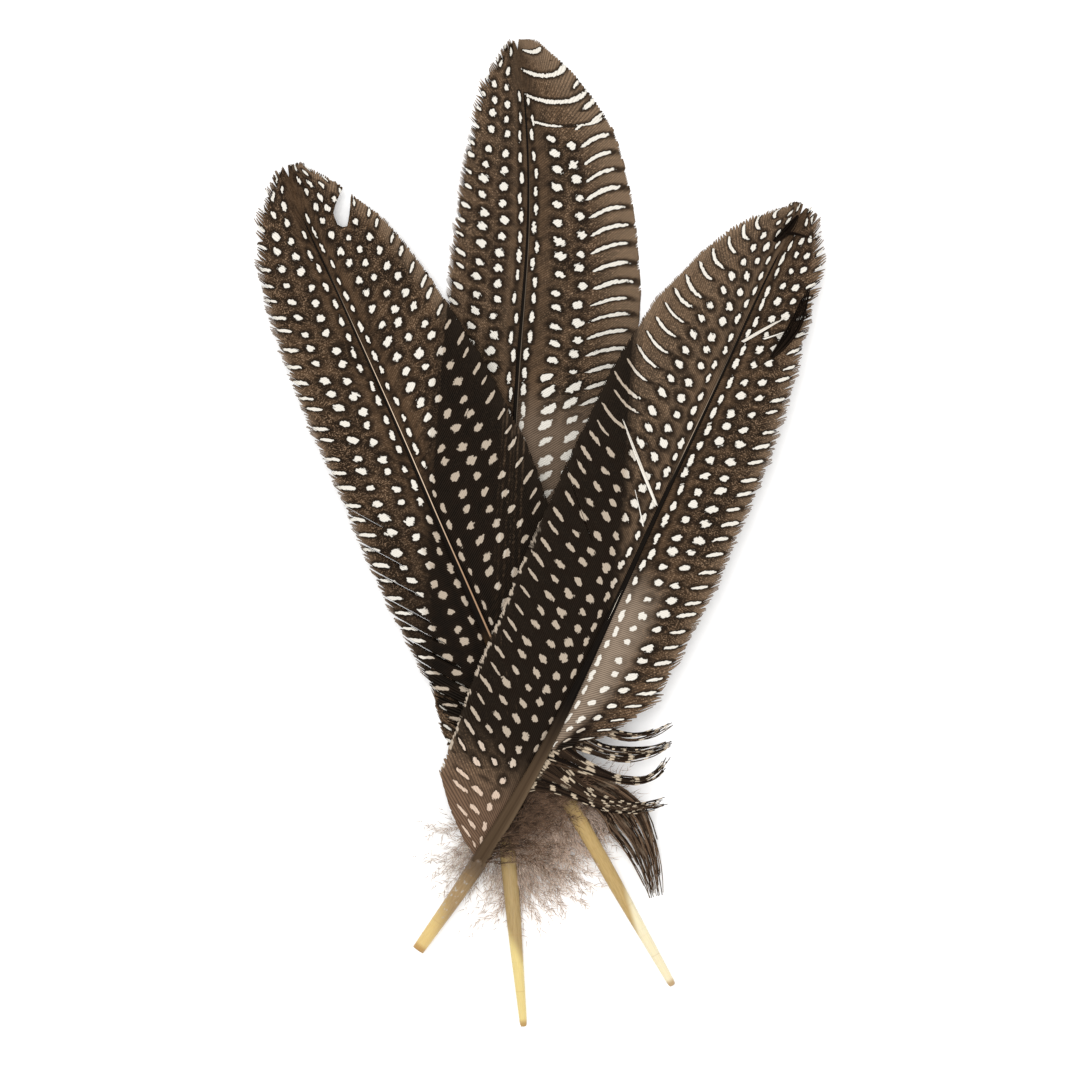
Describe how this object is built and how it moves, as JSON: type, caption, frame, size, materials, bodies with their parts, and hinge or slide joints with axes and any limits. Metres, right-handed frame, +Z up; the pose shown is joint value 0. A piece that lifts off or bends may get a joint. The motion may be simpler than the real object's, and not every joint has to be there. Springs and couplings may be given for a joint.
{
  "type": "quill pen set",
  "caption": "Uncut guinea-fowl wing quills for pens, spotted dark brown and cream, laid flat and crossed in a loose fan.",
  "frame": {"origin": "middle of the fan's box in plan, on the table that the centre quill lies on", "axes": "+Z up from the table, +Y from the barrels towards the tips of the blades, +X to the right of someone who looks down with the tips away from them"},
  "size_m": [0.1166, 0.2014, 0.0115],
  "materials": {
    "barrel_horn": "satin",
    "dried_pulp": "matte",
    "shaft_horn": "satin",
    "pith": "matte",
    "vane": "matte",
    "down": "matte",
    "loose_barbs": "matte"
  },
  "bodies": {
    "centre_quill": {"centre_barrel": "barrel_horn", "centre_pulp_caps": "dried_pulp", "centre_shaft_cortex": "shaft_horn", "centre_shaft_pith": "pith", "centre_left_vane": "vane", "centre_right_vane": "vane", "centre_left_down": "down", "centre_right_down": "down"},
    "left_quill": {"left_barrel": "barrel_horn", "left_pulp_caps": "dried_pulp", "left_shaft_cortex": "shaft_horn", "left_shaft_pith": "pith", "left_left_vane": "vane", "left_right_vane": "vane", "left_left_down": "down", "left_right_down": "down", "left_drooping_lock": "loose_barbs"},
    "right_quill": {"right_barrel": "barrel_horn", "right_pulp_caps": "dried_pulp", "right_shaft_cortex": "shaft_horn", "right_shaft_pith": "pith", "right_left_vane": "vane", "right_right_vane": "vane", "right_right_down": "down", "right_loose_lock_1": "loose_barbs", "right_loose_lock_2": "loose_barbs", "right_loose_lock_3": "loose_barbs", "right_loose_lock_4": "loose_barbs"}
  },
  "joints": [
    {"name": "left_swing", "type": "hinge", "parent": "centre_quill", "child": "left_quill", "pos_m": [0.0008, -0.0435, 0.006], "axis": [0, 0, 1], "range_deg": [-8, 12]},
    {"name": "right_swing", "type": "hinge", "parent": "centre_quill", "child": "right_quill", "pos_m": [0.0008, -0.0435, 0.009], "axis": [0, 0, -1], "range_deg": [-8, 12]}
  ]
}
